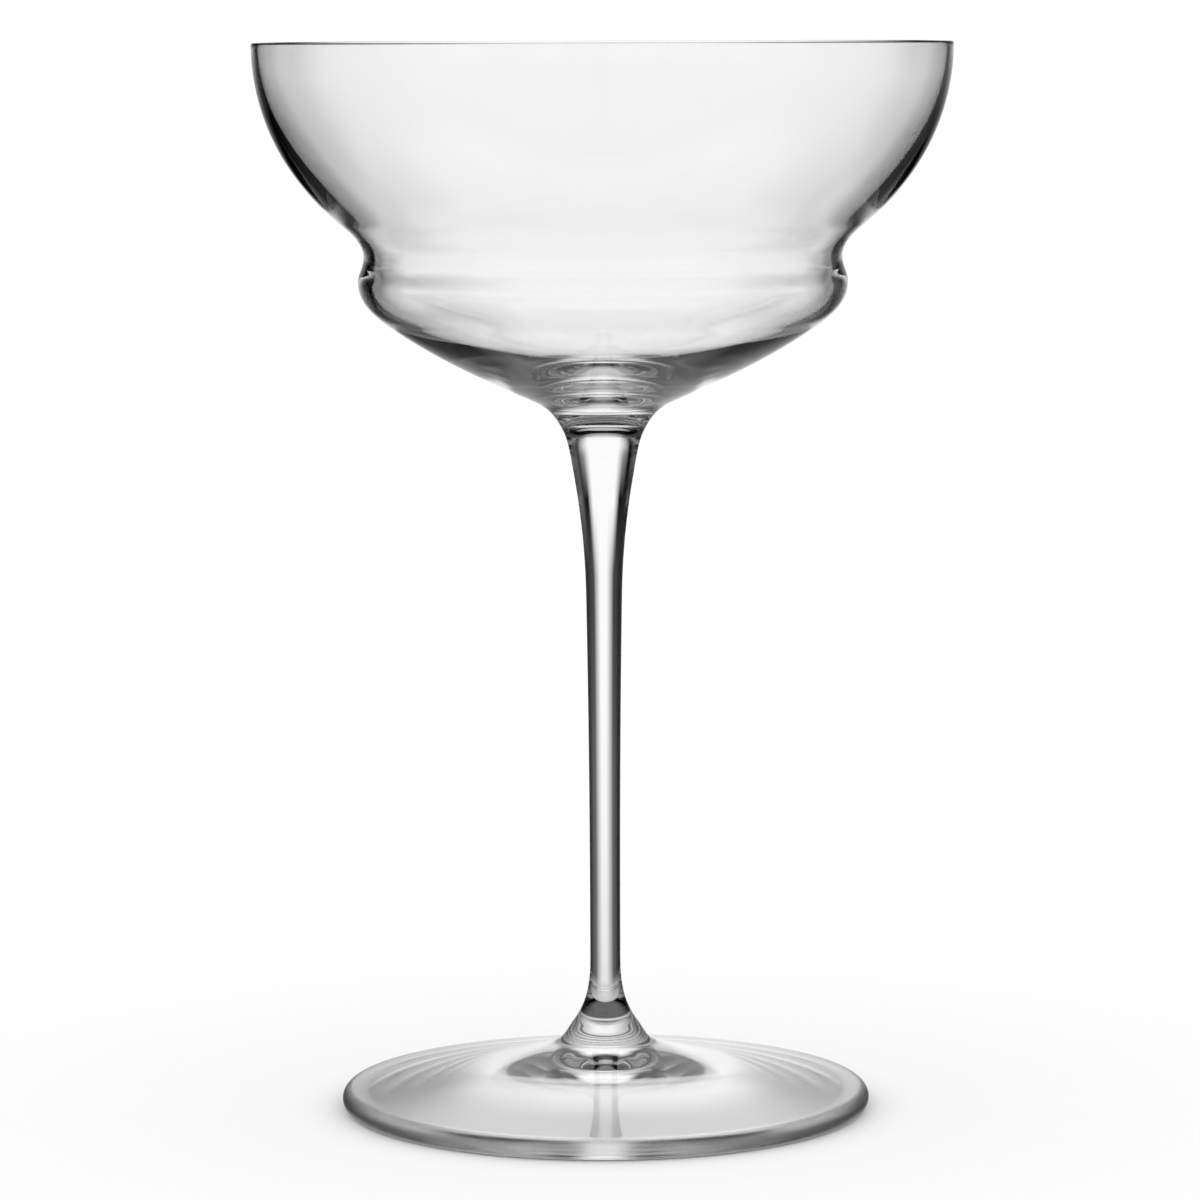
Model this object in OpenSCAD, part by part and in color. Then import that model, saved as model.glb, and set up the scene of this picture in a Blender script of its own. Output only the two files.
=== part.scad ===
// Stemmed coupe glass with a stepped bowl, in clear glass, in millimetres.
// Bowl, stem and foot stand on one upright axis and are fused end to end at two flat joints.
// Every outline is a chain of smooth bends between stations. A station is [radius, height, lean],
// where lean is the outline's angle from straight down in degrees, positive towards the axis.

/* [Bowl] */
// Outside diameter of the rim
rim_d = 98; // [86:0.5:120]
// Wall at the rim
rim_wall = 0.9; // [0.6:0.05:1.6]
// Radius of the rim's two rounded edges
rim_round = 0.3; // [0.1:0.05:0.3]
// Height of the open cup, from the shoulder to the rim
cup_h = 25.1; // [18:0.1:40]
// How far the shoulder stands out from the waist
shoulder_out = 3.5; // [1.5:0.1:6]
// Height of the shoulder above the waist
shoulder_h = 4.9; // [3:0.1:8]
// Lean of the outline at the shoulder
shoulder_lean = 49; // [35:1:60]
// Wall at the shoulder
shoulder_wall = 1.8; // [1:0.05:2.4]
// Outside diameter of the waist, the groove between cup and belly
waist_d = 67.2; // [56:0.1:78]
// Wall at the waist
waist_wall = 1.6; // [0.8:0.05:2.2]
// Height of the waist above the bulge
waist_h = 3.5; // [2.4:0.1:6]
// How far the bulge stands out from the waist
bulge_out = 0.8; // [0.2:0.1:2]
// Wall at the bulge
bulge_wall = 1.9; // [1:0.05:2.6]
// Height of the bulge above the hip, where the belly turns under
bulge_h = 5.9; // [4.5:0.1:9]
// How far the hip lies inside the bulge
hip_in = 4; // [2:0.1:6]
// Lean of the outline at the hip
hip_lean = 55; // [45:1:62]
// Wall at the hip
hip_wall = 1.7; // [1:0.05:2.4]
// Height of the hip above the foot of the bowl's cone
hip_h = 11; // [8:0.1:16]
// How far the foot of the cone stands out from the neck
cone_out = 3.65; // [2:0.05:6]
// Lean of the outline at the foot of the cone
cone_lean = 66; // [55:1:70]
// Height of the foot of the cone above the neck joint
cone_h = 3.6; // [2.5:0.1:6]
// Depth of solid glass between the inside of the bowl and the neck joint
floor_h = 5.6; // [4:0.1:9]
// How far the turn of the bowl's inside bottom lies outside the foot of the cone
well_out = 3.9; // [2:0.1:6]
// Height of that turn above the bowl's floor
well_h = 2.6; // [1.6:0.1:4]
// Lean of the inside at that turn
well_lean = 67; // [55:1:78]

/* [Stem] */
// Length of the stem between its two joints
stem_h = 84.7; // [60:0.1:130]
// Diameter of the neck joint, where stem and bowl are fused
neck_d = 11.9; // [9:0.1:15]
// Lean of the outline at the neck joint
neck_lean = 29; // [15:1:40]
// Diameter of the throat, where the neck has become a taper
throat_d = 9.2; // [7:0.1:12]
// Depth of the throat below the neck joint
throat_drop = 4.5; // [2.5:0.1:8]
// Lean of the outline at the throat
throat_lean = 10.5; // [6:0.5:16]
// Diameter at the top of the slender shank
shank_d = 5.1; // [4:0.1:7]
// Length of the taper, from the throat to the shank
taper_h = 19.5; // [12:0.1:30]
// Diameter where the stem is thinnest, just above the foot
thin_d = 4.3; // [3.4:0.1:6]
// Height of the thinnest place above the foot joint
thin_h = 9.1; // [6:0.1:16]

/* [Foot] */
// Diameter of the foot
foot_d = 75; // [60:0.5:95]
// Thickness of the rounded edge of the foot
edge_h = 3.1; // [2.4:0.1:4.5]
// Height of the foot joint, where stem and foot are fused
ankle_h = 12.3; // [10:0.1:18]
// Diameter of the foot joint
ankle_d = 9.1; // [7:0.1:12]
// Outward lean of the outline at the foot joint
ankle_lean = 37; // [20:1:50]
// Diameter of the instep, where the trumpet flattens into the disc
instep_d = 15; // [13:0.5:24]
// Height of the instep above the table
instep_h = 9.1; // [8.5:0.1:10]
// Slope of the instep from level
instep_slope = 17; // [10:1:22]
// Slope of the disc from level where it meets the rounded edge
disc_slope = 4; // [1:0.5:7]
// Width of the flat ring that the glass stands on
rest_w = 2; // [1:0.1:4]
// Rise of the hollow under the foot, at the middle
hollow_h = 5.8; // [3:0.1:6.2]
// Slope of the hollow from level where it leaves the ring
hollow_slope = 10; // [4:1:12]

/* [Hidden] */
$fn = 96;

// How far a bend's handles reach along its end tangents, as a share of its chord
fullness = 0.36;
// Straight steps in one bend, and in one arc of the rim or of the foot's edge
bend_steps = 16;
round_steps = 8;
glass_colour = [0.90, 0.93, 0.93, 0.4];

// Leans that stations take from slopes: outwards and down on the disc, inwards and up in the hollow
level_in = 90;
function outward_lean(slope) = slope - 90;
function rising_lean(slope) = level_in + slope;

// Radii and heights of the stations, from the table up
rim_r = rim_d/2;
waist_r = waist_d/2;
bulge_r = waist_r + bulge_out;
neck_r = neck_d/2;
foot_r = foot_d/2;
edge_r = edge_h/2;
neck_z = ankle_h + stem_h;
cone_z = neck_z + cone_h;
hip_z = cone_z + hip_h;
bulge_z = hip_z + bulge_h;
waist_z = bulge_z + waist_h;
shoulder_z = waist_z + shoulder_h;
rim_z = shoulder_z + cup_h;
throat_z = neck_z - throat_drop;

rim = [rim_r, rim_z - rim_round, 0];
shoulder = [waist_r + shoulder_out, shoulder_z, shoulder_lean];
waist = [waist_r, waist_z, 0];
bulge = [bulge_r, bulge_z, 0];
hip = [bulge_r - hip_in, hip_z, hip_lean];
cone = [neck_r + cone_out, cone_z, cone_lean];
neck = [neck_r, neck_z, neck_lean];
inner_floor = [0, neck_z + floor_h, level_in];
well = [neck_r + cone_out + well_out, neck_z + floor_h + well_h, well_lean];

throat = [throat_d/2, throat_z, throat_lean];
shank = [shank_d/2, throat_z - taper_h, 1];
thin = [thin_d/2, ankle_h + thin_h, 0];
ankle = [ankle_d/2, ankle_h, -ankle_lean];

instep = [instep_d/2, instep_h, outward_lean(instep_slope)];
disc_end = [foot_r - edge_r + edge_r*sin(disc_slope), edge_r + edge_r*cos(disc_slope), outward_lean(disc_slope)];
ring_in = [foot_r - edge_r - rest_w, 0, rising_lean(hollow_slope)];
hollow_top = [0, hollow_h, level_in];

// Heading of the outline at a lean
function way(lean) = [-sin(lean), -cos(lean)];

// Point at share s of the bend between two stations, a cubic curve with both tangents given
function along(a, b, s) =
    let (p = [a[0], a[1]], q = [b[0], b[1]])
    let (reach = fullness*norm(q - p))
    let (u = p + reach*way(a[2]), v = q - reach*way(b[2]))
    pow(1 - s, 3)*p + 3*pow(1 - s, 2)*s*u + 3*(1 - s)*s*s*v + pow(s, 3)*q;

// Outline through all stations, end points included once
function chain(stations) = [
    for (i = [0:len(stations) - 2], k = [(i == 0 ? 0 : 1):bend_steps])
        along(stations[i], stations[i + 1], k/bend_steps)
];

// Station on the inner face of a wall
function inside(a, wall) = [a[0] - wall*cos(a[2]), a[1] + wall*sin(a[2]), a[2]];

// Points of an arc about a centre, its two ends left out
function arc(centre, radius, from, to) = [
    for (k = [1:round_steps - 1])
        let (turn = from + (to - from)*k/round_steps)
        centre + radius*[cos(turn), sin(turn)]
];

function reversed(points) = [for (i = [len(points) - 1:-1:0]) points[i]];

// Solid of revolution of an outline in clear glass
module blown(outline) {
    color(glass_colour) rotate_extrude() polygon(outline);
}

// Cup, waist and belly in one blown wall, thick at the bottom, with a level rim between rounded edges
module bowl() {
    outer = chain([rim, shoulder, waist, bulge, hip, cone, neck]);
    inner = chain([
        inside(rim, rim_wall),
        inside(shoulder, shoulder_wall),
        inside(waist, waist_wall),
        inside(bulge, bulge_wall),
        inside(hip, hip_wall),
        well,
        inner_floor
    ]);
    edge_in = [rim_r - rim_wall + rim_round, rim_z - rim_round];
    edge_out = [rim_r - rim_round, rim_z - rim_round];
    up = [0, rim_round];
    over_rim = concat(
        arc(edge_in, rim_round, 180, 90), [edge_in + up, edge_out + up], arc(edge_out, rim_round, 90, 0)
    );
    blown(concat(outer, [[0, neck_z]], reversed(inner), over_rim));
}

// Solid drawn stem, from the neck joint through the slender shank to the foot joint
module stem() {
    blown(concat(chain([neck, throat, shank, thin, ankle]), [[0, ankle_h], [0, neck_z]]));
}

// Trumpet and disc with a rounded edge, standing on a flat ring around a shallow hollow
module foot() {
    top = chain([ankle, instep, disc_end]);
    around_edge = arc([foot_r - edge_r, edge_r], edge_r, 90 - disc_slope, -90);
    under = chain([ring_in, hollow_top]);
    blown(concat(top, around_edge, [[foot_r - edge_r, 0]], under, [[0, ankle_h]]));
}

bowl();
stem();
foot();
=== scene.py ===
import math

import bpy
import numpy as np
from mathutils import Euler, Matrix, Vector


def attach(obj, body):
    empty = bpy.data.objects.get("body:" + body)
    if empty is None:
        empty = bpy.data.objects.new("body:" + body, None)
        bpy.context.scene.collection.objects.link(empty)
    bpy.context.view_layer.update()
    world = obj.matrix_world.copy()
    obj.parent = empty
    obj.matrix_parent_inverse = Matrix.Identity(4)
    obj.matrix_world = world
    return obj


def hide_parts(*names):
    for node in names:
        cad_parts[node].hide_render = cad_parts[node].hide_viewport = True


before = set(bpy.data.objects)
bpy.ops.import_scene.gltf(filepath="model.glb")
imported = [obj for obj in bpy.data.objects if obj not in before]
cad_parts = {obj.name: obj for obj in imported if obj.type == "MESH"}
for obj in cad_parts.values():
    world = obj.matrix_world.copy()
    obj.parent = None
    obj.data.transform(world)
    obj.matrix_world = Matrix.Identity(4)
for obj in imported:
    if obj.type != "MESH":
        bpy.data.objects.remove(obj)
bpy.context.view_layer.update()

MM = 0.001
scene = bpy.context.scene
scene.view_settings.view_transform = "Standard"
scene.cycles.max_bounces = 32
scene.cycles.transmission_bounces = 28
scene.cycles.glossy_bounces = 16

# Sizes of the glass in millimetres, as in the solids; heights run from the table up
RIM_R = 49.0
RIM_WALL = 0.9
RIM_ROUND = 0.3
SHOULDER_WALL = 1.8
WAIST_R = 33.6
WAIST_WALL = 1.6
BULGE_R = 34.4
BULGE_WALL = 1.9
HIP_WALL = 1.7
NECK_R = 5.95
FOOT_R = 37.5
EDGE_R = 1.55
REST_W = 2.0
ANKLE_Z = 12.3
NECK_Z = 97.0
RIM_Z = 151.0
FLOOR_Z = 102.6
WELL_H = 2.6
HOLLOW_Z = 5.8
DISC_SLOPE = 4.0

# Stations of the outlines: radius, height, and lean in degrees from straight down, positive inwards
RIM = (RIM_R, RIM_Z - RIM_ROUND, 0.0)
SHOULDER = (37.1, 125.9, 49.0)
WAIST = (WAIST_R, 121.0, 0.0)
BULGE = (BULGE_R, 117.5, 0.0)
HIP = (30.4, 111.6, 55.0)
CONE = (9.6, 100.6, 66.0)
NECK = (NECK_R, NECK_Z, 29.0)
WELL = (13.5, FLOOR_Z + WELL_H, 67.0)
BOWL_FLOOR = (0.0, FLOOR_Z, 90.0)
THROAT = (4.6, 92.5, 10.5)
SHANK = (2.55, 73.0, 1.0)
THIN = (2.15, 21.4, 0.0)
ANKLE = (4.55, ANKLE_Z, -37.0)
INSTEP = (7.5, 9.1, -73.0)
RING_IN = (FOOT_R - EDGE_R - REST_W, 0.0, 100.0)
HOLLOW_TOP = (0.0, HOLLOW_Z, 90.0)

# How far a bend's handles reach along its end tangents, as a share of its chord
FULLNESS = 0.36

# Mesh fineness: segments around the axis, the longest step along an outline in millimetres, the fewest steps
# in a bend, and the steps in an arc of the rim and of the foot's edge
AROUND = 300
STEP_MM = 0.55
BEND_STEPS = 14
RIM_STEPS = 12
EDGE_STEPS = 24

# Heights closer than this, in metres, are level
LEVEL_M = 1e-9


def heading(lean):
    """Unit direction of an outline at a lean: sine of the lean inwards and cosine of it down."""
    turn = math.radians(lean)
    return np.array([-math.sin(turn), -math.cos(turn)])


def bend(a, b):
    """Cubic curve between two stations: its handles lie on the end tangents, a fixed share of the chord."""
    p, q = np.array(a[:2]), np.array(b[:2])
    chord = np.linalg.norm(q - p)
    u = p + FULLNESS * chord * heading(a[2])
    v = q - FULLNESS * chord * heading(b[2])
    steps = max(BEND_STEPS, int(math.ceil(chord / STEP_MM)))
    s = np.linspace(0.0, 1.0, steps + 1)[:, None]
    return (1 - s) ** 3 * p + 3 * (1 - s) ** 2 * s * u + 3 * (1 - s) * s ** 2 * v + s ** 3 * q


def chain(*stations):
    """Bends between neighbouring stations, joined end to end with each shared point once."""
    parts = [bend(a, b) for a, b in zip(stations, stations[1:])]
    return np.concatenate([parts[0]] + [part[1:] for part in parts[1:]])


def arc(centre, radius, start, end, steps):
    """Points at equal turns on a circle about a centre, without the two ends."""
    turn = np.radians(np.linspace(start, end, steps + 1)[1:-1])[:, None]
    return np.array(centre) + radius * np.concatenate([np.cos(turn), np.sin(turn)], 1)


def inside(station, wall):
    """The station on the inner face of a wall: moved by the wall's thickness square to the outline."""
    r, z, lean = station
    turn = math.radians(lean)
    return (r - wall * math.cos(turn), z + wall * math.sin(turn), lean)


def ring_quads(rings, around):
    """Faces between neighbouring rings of points: two neighbours on one ring and the same two on the next."""
    here = np.arange(around)
    after = (here + 1) % around
    row = np.arange(rings - 1)[:, None] * around
    corners = [row + here, row + after, row + around + after, row + around + here]
    return np.stack(corners, 2).reshape(-1, 4)


def lathe(name, outline, seam_heights):
    """Surface of revolution: each outline point (r, z) becomes a ring r cos t, r sin t, z, and a point on
    the axis becomes a pole. Bands between rings are quads, and the two poles are closed with fans.
    Faces that lie level at a seam height get the second material slot."""
    outline = np.asarray(outline) * MM
    rings = outline[1:-1]
    turn = np.arange(AROUND) * (2 * math.pi / AROUND)
    x = rings[:, :1] * np.cos(turn)
    y = rings[:, :1] * np.sin(turn)
    z = np.repeat(rings[:, 1:], AROUND, 1)
    verts = np.stack([x, y, z], 2).reshape(-1, 3)
    poles = np.array([[0, 0, outline[0, 1]], [0, 0, outline[-1, 1]]])
    verts = np.concatenate([verts, poles])
    first, last = len(verts) - 2, len(verts) - 1
    here = np.arange(AROUND)
    after = (here + 1) % AROUND
    end = (len(rings) - 1) * AROUND
    quads = ring_quads(len(rings), AROUND)
    fan_a = np.stack([np.full(AROUND, first), after, here], 1)
    fan_b = np.stack([np.full(AROUND, last), end + here, end + after], 1)
    mesh = bpy.data.meshes.new(name)
    mesh.from_pydata(verts.tolist(), [], quads.tolist() + fan_a.tolist() + fan_b.tolist())
    mesh.update()
    mesh.shade_smooth()
    mark_seams(mesh, seam_faces(outline, seam_heights))
    piece = bpy.data.objects.new(name, mesh)
    scene.collection.objects.link(piece)
    return piece


def seam_faces(outline, seam_heights):
    """Which faces of a lathe lie level at a seam height: its bands in order, then its first and last fan."""
    below = np.concatenate([outline[1:-2, 1], outline[[0, -1], 1]])
    above = np.concatenate([outline[2:-1, 1], outline[[1, -2], 1]])
    at_seam = np.zeros(len(below), bool)
    for seam_height in seam_heights:
        at_seam |= np.abs(below - seam_height * MM) < LEVEL_M
    return np.repeat(at_seam & (np.abs(below - above) < LEVEL_M), AROUND)


def mark_seams(mesh, at_seam):
    """Seam faces take the second slot. Edges where they meet the wall are sharp, so that the wall's shading
    runs on over the seam."""
    mesh.polygons.foreach_set("material_index", at_seam.astype(np.int32))
    ends = np.zeros(len(mesh.edges) * 2, np.int32)
    mesh.edges.foreach_get("vertices", ends)
    corners = np.zeros(len(mesh.loops), np.int32)
    mesh.loops.foreach_get("vertex_index", corners)
    sizes = np.zeros(len(mesh.polygons), np.int32)
    mesh.polygons.foreach_get("loop_total", sizes)
    corner_at_seam = np.repeat(at_seam, sizes)
    on_seam = np.zeros(len(mesh.vertices), bool)
    on_wall = np.zeros(len(mesh.vertices), bool)
    on_seam[corners[corner_at_seam]] = True
    on_wall[corners[~corner_at_seam]] = True
    shared = on_seam & on_wall
    mesh.edges.foreach_set("use_edge_sharp", shared[ends.reshape(-1, 2)].all(1))


def bowl_outline():
    """Joint disc, outer wall up to the rim, level rim between two rounded edges, inner wall to the floor."""
    outer = chain(RIM, SHOULDER, WAIST, BULGE, HIP, CONE, NECK)[::-1]
    inner = chain(
        inside(RIM, RIM_WALL),
        inside(SHOULDER, SHOULDER_WALL),
        inside(WAIST, WAIST_WALL),
        inside(BULGE, BULGE_WALL),
        inside(HIP, HIP_WALL),
        WELL,
        BOWL_FLOOR,
    )
    edge_out = (RIM_R - RIM_ROUND, RIM_Z - RIM_ROUND)
    edge_in = (RIM_R - RIM_WALL + RIM_ROUND, RIM_Z - RIM_ROUND)
    over_rim = np.concatenate([
        arc(edge_out, RIM_ROUND, 0, 90, RIM_STEPS),
        [[edge_out[0], RIM_Z], [edge_in[0], RIM_Z]],
        arc(edge_in, RIM_ROUND, 90, 180, RIM_STEPS),
    ])
    return np.concatenate([[[0, NECK_Z]], outer, over_rim, inner])


def stem_outline():
    """Joint disc at the foot, the drawn outline up to the neck, joint disc at the bowl."""
    side = chain(NECK, THROAT, SHANK, THIN, ANKLE)[::-1]
    return np.concatenate([[[0, ANKLE_Z]], side, [[0, NECK_Z]]])


def foot_outline():
    """Hollow from the axis to the resting ring, rounded edge, disc and trumpet up to the joint disc."""
    slope = math.radians(DISC_SLOPE)
    centre = (FOOT_R - EDGE_R, EDGE_R)
    disc_end = (centre[0] + EDGE_R * math.sin(slope), EDGE_R + EDGE_R * math.cos(slope), DISC_SLOPE - 90)
    under = chain(RING_IN, HOLLOW_TOP)[::-1]
    edge = arc(centre, EDGE_R, -90, 90 - DISC_SLOPE, EDGE_STEPS)
    top = chain(ANKLE, INSTEP, disc_end)[::-1]
    return np.concatenate([under, [[centre[0], 0]], edge, top, [[0, ANKLE_Z]]])


# Skin of each piece: the heights in millimetres where it is clear and where dull, its roughness where clear
# and where dull, and the depth of its rings in millimetres
SKINS = {
    "bowl": (110.0, 103.0, 0.0, 0.05, 0.0004),
    "stem": (80.0, 97.0, 0.0, 0.05, 0.0002),
    "foot": (3.0, 1.4, 0.03, 0.15, 0.0002),
}
SKIN_VALUES = ("Clear At", "Dull At", "Clear Roughness", "Dull Roughness", "Ring Depth")

# Rings to the metre along an outline, and how often they wander across the glass
RINGS_PER_M = 700.0
WANDER_PER_M = 20.0
RING_DETAIL = 2.0

GLASS_TINT = (0.995, 0.997, 0.996, 1)
GLASS_IOR = 1.51
WHITE = (1, 1, 1, 1)


def new_material(name):
    """Material with an empty tree but for its output."""
    material = bpy.data.materials.new(name)
    material.use_nodes = True
    tree = material.node_tree
    tree.nodes.clear()
    out = tree.nodes.new("ShaderNodeOutputMaterial")
    return material, tree, out


def math_node(tree, operation, *values, clamp=False):
    """Math node on one or two values, each a socket or a number."""
    node = tree.nodes.new("ShaderNodeMath")
    node.operation = operation
    node.use_clamp = clamp
    for socket, value in zip(node.inputs, values):
        if isinstance(value, (int, float)):
            socket.default_value = value
        else:
            tree.links.new(value, socket)
    return node.outputs["Value"]


def axis_places(tree):
    """Distance from the axis, height above the table and place across, of the shaded point."""
    coords = tree.nodes.new("ShaderNodeTexCoord")
    split = tree.nodes.new("ShaderNodeSeparateXYZ")
    tree.links.new(coords.outputs["Object"], split.inputs["Vector"])
    squares = [math_node(tree, "POWER", split.outputs[axis], 2.0) for axis in "XY"]
    radius = math_node(tree, "SQRT", math_node(tree, "ADD", *squares))
    return radius, split.outputs["Z"], split.outputs["X"]


def fired_skin_group():
    """Node group for the skin of fired glass. It puts out a roughness that goes smoothly from clear to dull
    between two heights, and a normal with the faint rings of turning: noise drawn out along the rings."""
    group = bpy.data.node_groups.new("fired_skin", "ShaderNodeTree")
    for name in SKIN_VALUES:
        group.interface.new_socket(name, in_out="INPUT", socket_type="NodeSocketFloat")
    group.interface.new_socket("Roughness", in_out="OUTPUT", socket_type="NodeSocketFloat")
    group.interface.new_socket("Normal", in_out="OUTPUT", socket_type="NodeSocketVector")
    given = group.nodes.new("NodeGroupInput").outputs
    out = group.nodes.new("NodeGroupOutput")
    radius, height, across = axis_places(group)
    grade = group.nodes.new("ShaderNodeMapRange")
    grade.interpolation_type = "SMOOTHSTEP"
    group.links.new(height, grade.inputs["Value"])
    for key, name in zip(("From Min", "From Max", "To Min", "To Max"), SKIN_VALUES):
        group.links.new(given[name], grade.inputs[key])
    group.links.new(grade.outputs["Result"], out.inputs["Roughness"])
    spot = group.nodes.new("ShaderNodeCombineXYZ")
    group.links.new(math_node(group, "MULTIPLY", radius, RINGS_PER_M), spot.inputs["X"])
    group.links.new(math_node(group, "MULTIPLY", height, RINGS_PER_M), spot.inputs["Y"])
    group.links.new(math_node(group, "MULTIPLY", across, WANDER_PER_M), spot.inputs["Z"])
    rings = group.nodes.new("ShaderNodeTexNoise")
    rings.inputs["Scale"].default_value = 1.0
    rings.inputs["Detail"].default_value = RING_DETAIL
    group.links.new(spot.outputs["Vector"], rings.inputs["Vector"])
    bump = group.nodes.new("ShaderNodeBump")
    bump.inputs["Strength"].default_value = 1.0
    group.links.new(given["Ring Depth"], bump.inputs["Distance"])
    group.links.new(rings.outputs["Fac"], bump.inputs["Height"])
    group.links.new(bump.outputs["Normal"], out.inputs["Normal"])
    return group


def clear_glass(node, group):
    """Fire-polished clear glass with its skin."""
    material, tree, out = new_material(node + "_clear_glass")
    clear_at, dull_at, clear, dull, ring_depth = SKINS[node]
    skin = tree.nodes.new("ShaderNodeGroup")
    skin.node_tree = group
    for key, value in zip(SKIN_VALUES, (clear_at * MM, dull_at * MM, clear, dull, ring_depth * MM)):
        skin.inputs[key].default_value = value
    shader = tree.nodes.new("ShaderNodeBsdfPrincipled")
    shader.inputs["Base Color"].default_value = GLASS_TINT
    shader.inputs["IOR"].default_value = GLASS_IOR
    shader.inputs["Transmission Weight"].default_value = 1.0
    tree.links.new(skin.outputs["Roughness"], shader.inputs["Roughness"])
    tree.links.new(skin.outputs["Normal"], shader.inputs["Normal"])
    tree.links.new(shader.outputs["BSDF"], out.inputs["Surface"])
    return material


def fused_seam():
    """The inside of a fused joint, where the glass runs on and nothing shows."""
    material, tree, out = new_material("fused_seam")
    shader = tree.nodes.new("ShaderNodeBsdfTransparent")
    shader.inputs["Color"].default_value = WHITE
    tree.links.new(shader.outputs["BSDF"], out.inputs["Surface"])
    return material


# Camera of the photograph, for a square frame: lens and sensor, distance to the aim point in millimetres, and
# downward pitch and roll in degrees
LENS_MM = 154.2
SENSOR_MM = 36.0
CAMERA_REACH = 726.3
CAMERA_PITCH = 6.375
CAMERA_ROLL = 0.2
AIM = (-0.3, 0.0, 72.54)

camera_data = bpy.data.cameras.new("camera")
camera_data.lens = LENS_MM
camera_data.sensor_width = SENSOR_MM
camera = bpy.data.objects.new("camera", camera_data)
scene.collection.objects.link(camera)
pitch = math.radians(CAMERA_PITCH)
camera.location = Vector(AIM) * MM + CAMERA_REACH * MM * Vector((0, -math.cos(pitch), math.sin(pitch)))
camera.rotation_euler = Euler((math.pi / 2 - pitch, math.radians(CAMERA_ROLL), 0), "YXZ")
scene.camera = camera

# The three pieces of glass
seam = fused_seam()
skin_group = fired_skin_group()
pieces = {
    "bowl": lathe("blown_bowl", bowl_outline(), (NECK_Z,)),
    "stem": lathe("drawn_stem", stem_outline(), (ANKLE_Z, NECK_Z)),
    "foot": lathe("pressed_foot", foot_outline(), (ANKLE_Z,)),
}
for node, piece in pieces.items():
    piece.data.materials.append(clear_glass(node, skin_group))
    piece.data.materials.append(seam)
    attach(piece, "root")
    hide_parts(node)

# Studio: a white floor under even light, and a tent of graded cards around the glass, in metres
FLOOR_HALF = 3.0
TENT_R = 0.19
TENT_AROUND = 96
TENT_UP = 48
DAYLIGHT = 1.05

# Studio cards as the glass sees them: side angles and heights in degrees from the camera's axis, to the right
# and up, then the widths of the soft side edges and of the soft top and bottom edges, and the brightness
STUDIO_CARDS = (
    ("top of the back panel", -28, 29, 20, 44, 20, 10, 1.04),
    ("middle of the back panel", -21, 22, 9, 20, 10, 10, 1.04),
    ("lower middle of the back panel", -13, 16, -5, 9, 16, 10, 0.97),
    ("glow beside the lower middle", -32, 40, -5, 9, 26, 10, 0.06),
    ("foot of the back panel", -12, 16, -16, -5, 18, 10, 0.86),
    ("glow beside the foot of the panel", -32, 40, -32, -5, 28, 10, 0.14),
    ("far edge of the table", -12, 16, -32, -16, 18, 10, 0.7),
    ("table", -50, 50, -50, -32, 40, 10, 0.58),
    ("near edge of the table", -50, 50, -66, -50, 40, 10, 0.65),
    ("left fill", -130, -46, 18, 44, 10, 10, 0.08),
    ("right fill", 40, 130, 9, 44, 10, 10, 0.1),
    ("overhead light", -90, 90, 64, 92, 20, 8, 0.5),
    ("ground", -182, 182, -92, -66, 6, 10, 0.12),
    ("room behind the camera on the left", -182, -120, -45, 30, 10, 10, 0.3),
    ("room behind the camera on the right", 120, 182, -45, 30, 10, 10, 0.3),
)
CARD_VALUES = ("Left", "Right", "Low", "High", "Side Soft", "Up Soft", "Brightness")


def even_light():
    """White light from all sides, which the floor and the eye see."""
    world = bpy.data.worlds.new("studio")
    world.use_nodes = True
    sky = world.node_tree.nodes["Background"]
    sky.inputs["Color"].default_value = WHITE
    sky.inputs["Strength"].default_value = DAYLIGHT
    scene.world = world


def floor_sheet():
    """Square white sheet at table height. Reflected and refracted rays pass it by and meet the tent."""
    mesh = bpy.data.meshes.new("floor")
    h = FLOOR_HALF
    mesh.from_pydata([(-h, -h, 0), (h, -h, 0), (h, h, 0), (-h, h, 0)], [], [(0, 1, 2, 3)])
    floor = bpy.data.objects.new("floor", mesh)
    scene.collection.objects.link(floor)
    material, tree, out = new_material("white_floor")
    shader = tree.nodes.new("ShaderNodeBsdfDiffuse")
    shader.inputs["Color"].default_value = WHITE
    tree.links.new(shader.outputs["BSDF"], out.inputs["Surface"])
    mesh.materials.append(material)
    floor.visible_glossy = False
    floor.visible_transmission = False


def soft_card_group():
    """Node group for one card: its brightness times the share that a direction lies within its four edges,
    each edge rising from 0 to 1 over the soft width."""
    group = bpy.data.node_groups.new("soft_card", "ShaderNodeTree")
    for name in ("Side", "Up") + CARD_VALUES:
        group.interface.new_socket(name, in_out="INPUT", socket_type="NodeSocketFloat")
    group.interface.new_socket("Light", in_out="OUTPUT", socket_type="NodeSocketFloat")
    given = group.nodes.new("NodeGroupInput").outputs
    out = group.nodes.new("NodeGroupOutput")
    light = given["Brightness"]
    for ahead, behind, soft in (
        ("Side", "Left", "Side Soft"), ("Right", "Side", "Side Soft"),
        ("Up", "Low", "Up Soft"), ("High", "Up", "Up Soft"),
    ):
        past = math_node(group, "SUBTRACT", given[ahead], given[behind])
        share = math_node(group, "DIVIDE", past, given[soft])
        edge = math_node(group, "ADD", share, 0.5, clamp=True)
        light = math_node(group, "MULTIPLY", light, edge)
    group.links.new(light, out.inputs["Light"])
    return group


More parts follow.
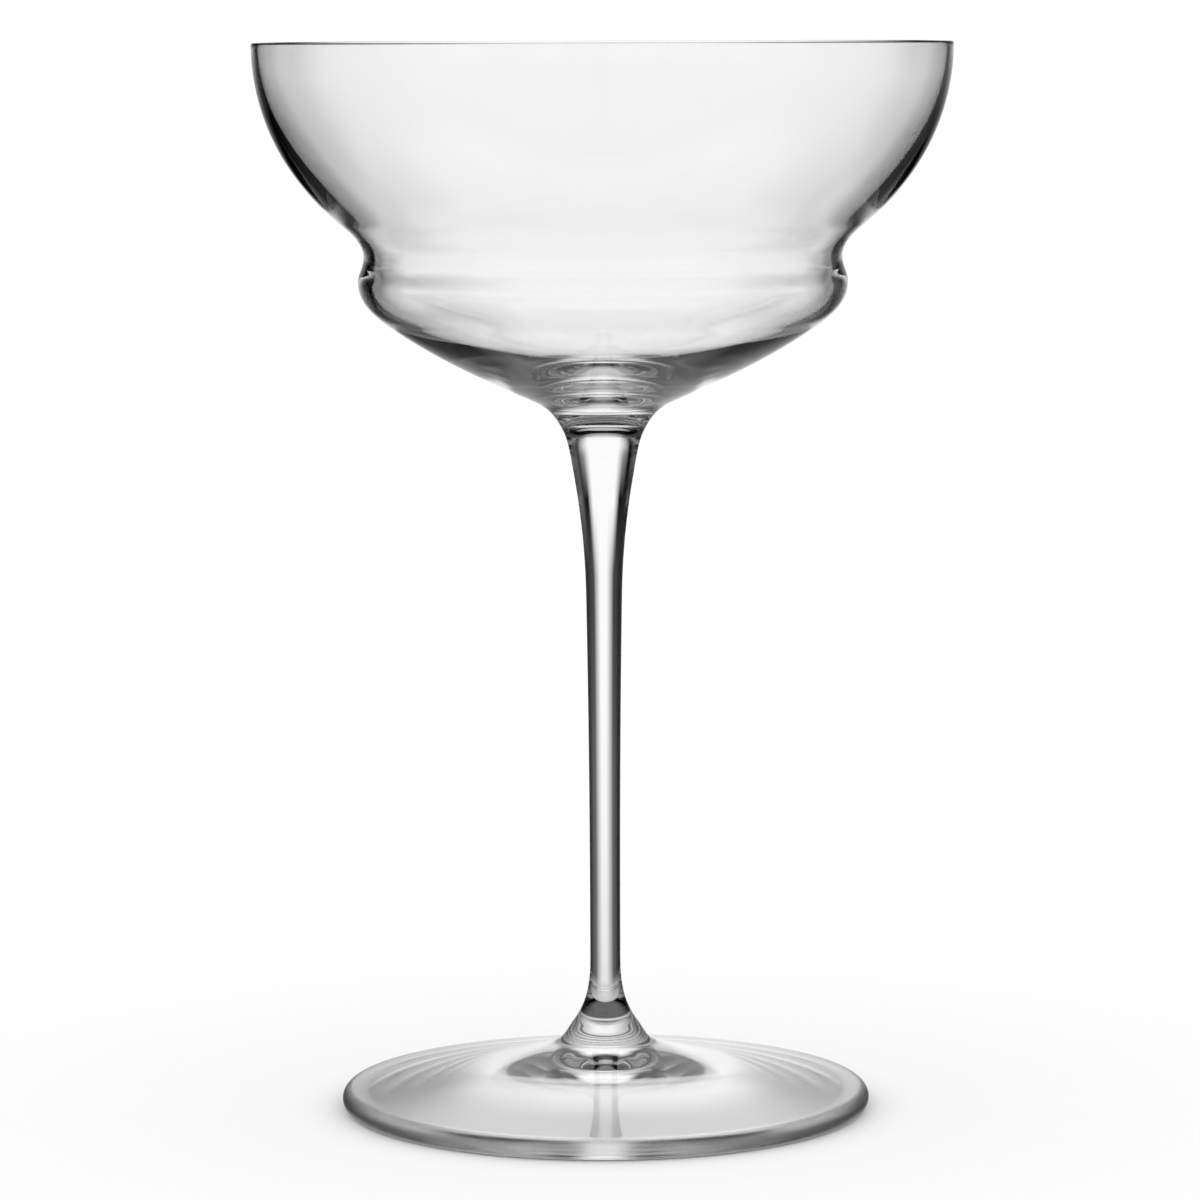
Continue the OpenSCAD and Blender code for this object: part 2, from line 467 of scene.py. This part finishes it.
def tent_directions(tree):
    """Side angle and height in degrees of the direction from the tent's middle."""
    coords = tree.nodes.new("ShaderNodeTexCoord")
    unit = tree.nodes.new("ShaderNodeVectorMath")
    unit.operation = "NORMALIZE"
    tree.links.new(coords.outputs["Object"], unit.inputs[0])
    split = tree.nodes.new("ShaderNodeSeparateXYZ")
    tree.links.new(unit.outputs["Vector"], split.inputs["Vector"])
    forward = math_node(tree, "MULTIPLY", split.outputs["Z"], -1.0)
    side = math_node(tree, "ARCTAN2", split.outputs["X"], forward)
    up = math_node(tree, "ARCSINE", split.outputs["Y"])
    degree = 180 / math.pi
    return math_node(tree, "MULTIPLY", side, degree), math_node(tree, "MULTIPLY", up, degree)


def tent_material():
    """Sum of all studio cards, as light."""
    material, tree, out = new_material("studio_cards")
    side, up = tent_directions(tree)
    group = soft_card_group()
    total = 0.0
    for name, *values in STUDIO_CARDS:
        card = tree.nodes.new("ShaderNodeGroup")
        card.node_tree = group
        card.label = name
        tree.links.new(side, card.inputs["Side"])
        tree.links.new(up, card.inputs["Up"])
        for key, value in zip(CARD_VALUES, values):
            card.inputs[key].default_value = value
        total = math_node(tree, "ADD", card.outputs["Light"], total)
    shader = tree.nodes.new("ShaderNodeEmission")
    tree.links.new(total, shader.inputs["Color"])
    tree.links.new(shader.outputs["Emission"], out.inputs["Surface"])
    return material


def light_tent():
    """Sphere about the glass, r cos v sin u, r sin v, minus r cos v cos u, turned with the camera. Only
    reflected and refracted rays see it, so it gives the glass its dark edges and leaves the floor white."""
    u = np.linspace(0, 2 * math.pi, TENT_AROUND + 1)[:-1]
    v = np.linspace(-math.pi / 2, math.pi / 2, TENT_UP + 1)
    uu, vv = np.meshgrid(u, v)
    directions = np.stack([np.cos(vv) * np.sin(uu), np.sin(vv), -np.cos(vv) * np.cos(uu)], 2)
    verts = TENT_R * directions.reshape(-1, 3)
    mesh = bpy.data.meshes.new("light_tent")
    mesh.from_pydata(verts.tolist(), [], ring_quads(TENT_UP + 1, TENT_AROUND).tolist())
    mesh.materials.append(tent_material())
    tent = bpy.data.objects.new("light_tent", mesh)
    scene.collection.objects.link(tent)
    tent.location = Vector(AIM) * MM
    turn = tent.constraints.new("COPY_ROTATION")
    turn.target = camera
    tent.visible_camera = False
    tent.visible_diffuse = False
    tent.visible_shadow = False


even_light()
floor_sheet()
light_tent()
